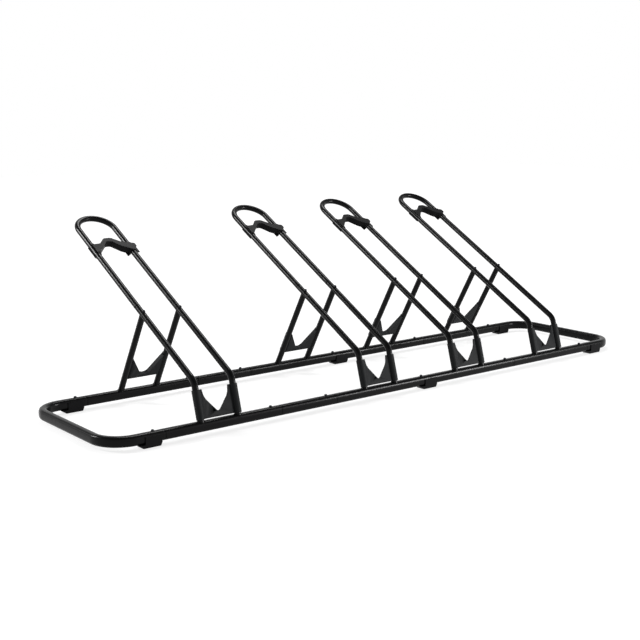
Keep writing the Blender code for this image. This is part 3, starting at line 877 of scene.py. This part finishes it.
class RACK_OT_screws(Operator):
    """Adds the screws through the rail seams and the strut heads."""

    bl_idname = "rack.screws"
    bl_label = "Screws"

    def execute(self, context):
        sizes = context.scene.rack_sizes
        rail_screw = screw("rail_screw", Vector((0, FRONT_Y, RAIL_TOP)), UP, SHANK_REACH, sizes)
        nodes = {}
        for row, behind in ROWS.items():
            for k in RAIL_BOLTS:
                low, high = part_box(f"{row}_rail_bolt_{k}")
                nodes[f"{row}_rail_bolt_{k}"] = Vector(((low.x + high.x) / 2, behind, 0))
        fit_row(rail_screw, "screw", nodes, "bolt_steel")
        top = STRUT_HEAD + STRUT_WAY * sizes.tube_radius
        leg_screw = screw("leg_screw", top, STRUT_WAY, 2 * sizes.tube_radius + SHANK_REACH, sizes)
        nodes = {}
        for word, side in SIDES.items():
            for k in HOLDERS:
                nodes[f"leg_bolt_{word}_{k}"] = ACROSS * (holder_x(k) + side * LEG_SPREAD)
        fit_row(leg_screw, "screw", nodes, "bolt_steel")
        return {"FINISHED"}


def screw(name, place, axis, long, sizes):
    """A button head screw with a hexagon socket, its shank down from its place."""
    seat = place + axis * GAP
    tall = sizes.head_height
    piece = open_ring(name, TUBE_SIDES, SHANK_RADIUS, place - axis * long, axis, "NGON")
    run(axis * (long + GAP))
    neck([sizes.head_radius / SHANK_RADIUS] * 3, seat)
    run(axis * RIM * tall)
    before = RIM * tall
    wide = 1.0
    for step in range(1, DOME_STEPS + 1):
        turn = DOME_STEP * step
        height = (RIM + (1 - RIM) * sin(turn)) * tall
        run(axis * (height - before))
        bpy.ops.transform.resize(value=[cos(turn) / wide] * 3, center_override=seat + axis * height)
        before = height
        wide = cos(turn)
    leave(piece)
    key = open_ring("key", 6, SOCKET_RADIUS, seat + axis * SOCKET_FLOOR * tall, axis, "NGON")
    run(axis * tall)
    combine(piece, leave(key), "DIFFERENCE")
    soften(piece, SCREW_EDGE, 2)
    smooth(piece)
    return piece


def add_node(tree, kind, values=None, links=None, **settings):
    """Adds a node with its input values, its links {input: socket} and its settings."""
    made = tree.nodes.new(kind)
    for name, value in settings.items():
        setattr(made, name, value)
    for name, value in (values or {}).items():
        made.inputs[name].default_value = value
    for name, socket in (links or {}).items():
        tree.links.new(socket, made.inputs[name])
    return made


def blank_material(name):
    """A new material with only its output, and the Object coordinates to draw on."""
    made = bpy.data.materials.new(name)
    made.use_nodes = True
    tree = made.node_tree
    tree.nodes.clear()
    output = add_node(tree, "ShaderNodeOutputMaterial")
    place = add_node(tree, "ShaderNodeTexCoord").outputs["Object"]
    return tree, output, place


def finish(name, dark, roughness, shine, grain, relief, fleck, metallic=0.0):
    """A surface with a fine relief of the grain's size, soft cloudy tone and uneven gloss."""
    tree, output, place = blank_material(name)
    fine = add_node(tree, "ShaderNodeTexNoise",
                    {"Scale": 1 / grain, "Detail": 3.0, "Roughness": 0.55}, {"Vector": place})
    cloud = add_node(tree, "ShaderNodeTexNoise",
                     {"Scale": CLOUDS_PER_METRE, "Detail": 4.0, "Roughness": 0.6},
                     {"Vector": place})
    pale = [min(1, part * (1 + fleck) + CLOUD_LIFT * fleck) for part in dark]
    tone = add_node(tree, "ShaderNodeMix", {}, {"Factor": cloud.outputs["Fac"]}, data_type="RGBA")
    tone.inputs["A"].default_value = (*dark, 1)
    tone.inputs["B"].default_value = (*pale, 1)
    gloss = add_node(tree, "ShaderNodeMapRange",
                     {"To Min": roughness - GLOSSIER, "To Max": roughness + DULLER},
                     {"Value": cloud.outputs["Fac"]})
    bump = add_node(tree, "ShaderNodeBump",
                    {"Strength": relief, "Distance": grain * RELIEF_DEPTH},
                    {"Height": fine.outputs["Fac"]})
    shader = add_node(tree, "ShaderNodeBsdfPrincipled",
                      {"Metallic": metallic, "Specular IOR Level": shine},
                      {"Roughness": gloss.outputs["Result"], "Normal": bump.outputs["Normal"]})
    tree.links.new(tone.outputs[2], shader.inputs["Base Color"])
    tree.links.new(shader.outputs["BSDF"], output.inputs["Surface"])


class RACK_OT_finishes(Operator):
    """Makes the five finishes."""

    bl_idname = "rack.finishes"
    bl_label = "Finishes"

    def execute(self, context):
        look = context.scene.rack_finish
        # Polyester powder, sprayed and baked on steel: satin black with a soft ripple, about
        # 2 mm from crest to crest
        finish("sprayed_polyester_coat", look.coat, look.coat_roughness, look.coat_shine,
               grain=0.0022, relief=0.03, fleck=0.25)
        # Moulded polypropylene: matte and a little grey. Its real grain of about 0.1 mm would
        # not show, so it is drawn at 1.2 mm.
        finish("moulded_polypropylene", look.plate, look.plate_roughness, look.plastic_shine,
               grain=0.0012, relief=0.35, fleck=0.2)
        # Moulded nylon: darker and a little smoother, its grain drawn coarser in the same way
        finish("moulded_nylon", look.clip, look.clip_roughness, look.plastic_shine,
               grain=0.0012, relief=0.3, fleck=0.2)
        # Polypropylene with a coarse moulded grain: dull and slightly dusty
        finish("grained_polypropylene", look.foot, look.foot_roughness, look.plastic_shine,
               grain=0.0015, relief=0.4, fleck=0.5)
        # Black zinc, plated on steel: a dark metal with a faint cloudy sheen
        finish("black_zinc", look.screw, look.screw_roughness, look.screw_shine,
               grain=0.0008, relief=0.1, fleck=0.3, metallic=1.0)
        return {"FINISHED"}


class RACK_OT_stage(Operator):
    """Adds the floor, the backdrop, the lights and the camera."""

    bl_idname = "rack.stage"
    bl_label = "Stage"

    def execute(self, context):
        floor()
        sky()
        for lamp in SOFTBOXES:
            softbox(*lamp)
        camera()
        context.scene.view_settings.view_transform = "Standard"
        return {"FINISHED"}


def seen(tree):
    """1 for what the camera sees, straight or in a mirror or glass, and 0 for light."""
    path = add_node(tree, "ShaderNodeLightPath")
    found = path.outputs["Is Camera Ray"]
    for ray in ("Is Glossy Ray", "Is Transmission Ray"):
        either = add_node(tree, "ShaderNodeMath", {}, {0: found, 1: path.outputs[ray]},
                          operation="MAXIMUM")
        found = either.outputs[0]
    return found


def floor():
    """A pale floor, white far out, that keeps a faint shadow."""
    bpy.ops.object.select_all(action="DESELECT")
    bpy.ops.mesh.primitive_plane_add(size=FLOOR_SIZE, location=(0, 0, 0))
    piece = bpy.context.object
    piece.name = "studio_floor"
    tree, output, place = blank_material("studio_floor")
    paper = add_node(tree, "ShaderNodeBsdfDiffuse", {"Color": PAPER})
    reach = add_node(tree, "ShaderNodeVectorMath", {}, {"Vector": place}, operation="LENGTH")
    paleness = add_node(tree, "ShaderNodeMapRange", FLOOR_GLOW, {"Value": reach.outputs["Value"]})
    glow = add_node(tree, "ShaderNodeEmission", {"Color": WHITE},
                    {"Strength": paleness.outputs["Result"]})
    both = add_node(tree, "ShaderNodeAddShader", {}, {0: paper.outputs[0], 1: glow.outputs[0]})
    mix = add_node(tree, "ShaderNodeMixShader", {},
                   {0: seen(tree), 1: paper.outputs[0], 2: both.outputs[0]})
    tree.links.new(mix.outputs[0], output.inputs["Surface"])
    piece.data.materials.append(bpy.data.materials["studio_floor"])


def sky():
    """White round the horizon and grey overhead to the eye, and an even light on the object."""
    world = bpy.data.worlds.new("studio")
    bpy.context.scene.world = world
    world.use_nodes = True
    tree = world.node_tree
    tree.nodes.clear()
    way = add_node(tree, "ShaderNodeTexCoord").outputs["Generated"]
    height = add_node(tree, "ShaderNodeSeparateXYZ", {}, {"Vector": way}).outputs["Z"]
    backdrop = add_node(tree, "ShaderNodeMapRange", BACKDROP, {"Value": height})
    strength = add_node(tree, "ShaderNodeMix", {"A": EVEN_LIGHT},
                        {"Factor": seen(tree), "B": backdrop.outputs["Result"]})
    light = add_node(tree, "ShaderNodeBackground", {"Color": WHITE},
                     {"Strength": strength.outputs["Result"]})
    output = add_node(tree, "ShaderNodeOutputWorld")
    tree.links.new(light.outputs[0], output.inputs["Surface"])


def softbox(name, place, wide, tall, watts):
    """A soft light that faces the middle of the rack."""
    bpy.ops.object.light_add(type="AREA", location=place)
    lamp = bpy.context.object
    lamp.name = name
    lamp.data.shape = "RECTANGLE"
    lamp.data.size = wide
    lamp.data.size_y = tall
    lamp.data.energy = watts
    aim = LAMP_AIM - Vector(place)
    lamp.rotation_euler = aim.to_track_quat("-Z", "Y").to_euler()


def camera():
    """The photograph's view of the rack."""
    bpy.ops.object.camera_add(location=CAMERA_PLACE, rotation=CAMERA_TURN)
    eye = bpy.context.object
    eye.name = "camera"
    eye.data.sensor_width = SENSOR_WIDTH
    eye.data.lens = LENS
    bpy.context.scene.camera = eye


class RACK_PT_panel(Panel):
    """Lists the steps, sizes and finishes in the sidebar."""

    bl_label = "Bicycle Rack"
    bl_idname = "RACK_PT_panel"
    bl_space_type = "VIEW_3D"
    bl_region_type = "UI"
    bl_category = "Bicycle Rack"

    def draw(self, context):
        for step in STEPS:
            self.layout.operator(f"rack.{step}")
        for group in (context.scene.rack_sizes, context.scene.rack_finish):
            box = self.layout.box()
            for name in group.__annotations__:
                box.prop(group, name)


STEPS = ("finishes", "front_rails", "back_rails", "spacers", "end_frames", "wheel_loops",
         "front_plates", "rear_plates", "wheel_clips", "feet", "screws", "stage")

CLASSES = (RackSizes, RackFinish, RACK_OT_finishes, RACK_OT_front_rails, RACK_OT_back_rails,
           RACK_OT_spacers, RACK_OT_end_frames, RACK_OT_wheel_loops, RACK_OT_front_plates,
           RACK_OT_rear_plates, RACK_OT_wheel_clips, RACK_OT_feet, RACK_OT_screws, RACK_OT_stage,
           RACK_PT_panel)


def register():
    for kind in CLASSES:
        bpy.utils.register_class(kind)
    bpy.types.Scene.rack_sizes = PointerProperty(type=RackSizes)
    bpy.types.Scene.rack_finish = PointerProperty(type=RackFinish)


def unregister():
    del bpy.types.Scene.rack_finish
    del bpy.types.Scene.rack_sizes
    for kind in reversed(CLASSES):
        bpy.utils.unregister_class(kind)


def main():
    register()
    for step in STEPS:
        getattr(bpy.ops.rack, step)()


if __name__ == "__main__":
    main()
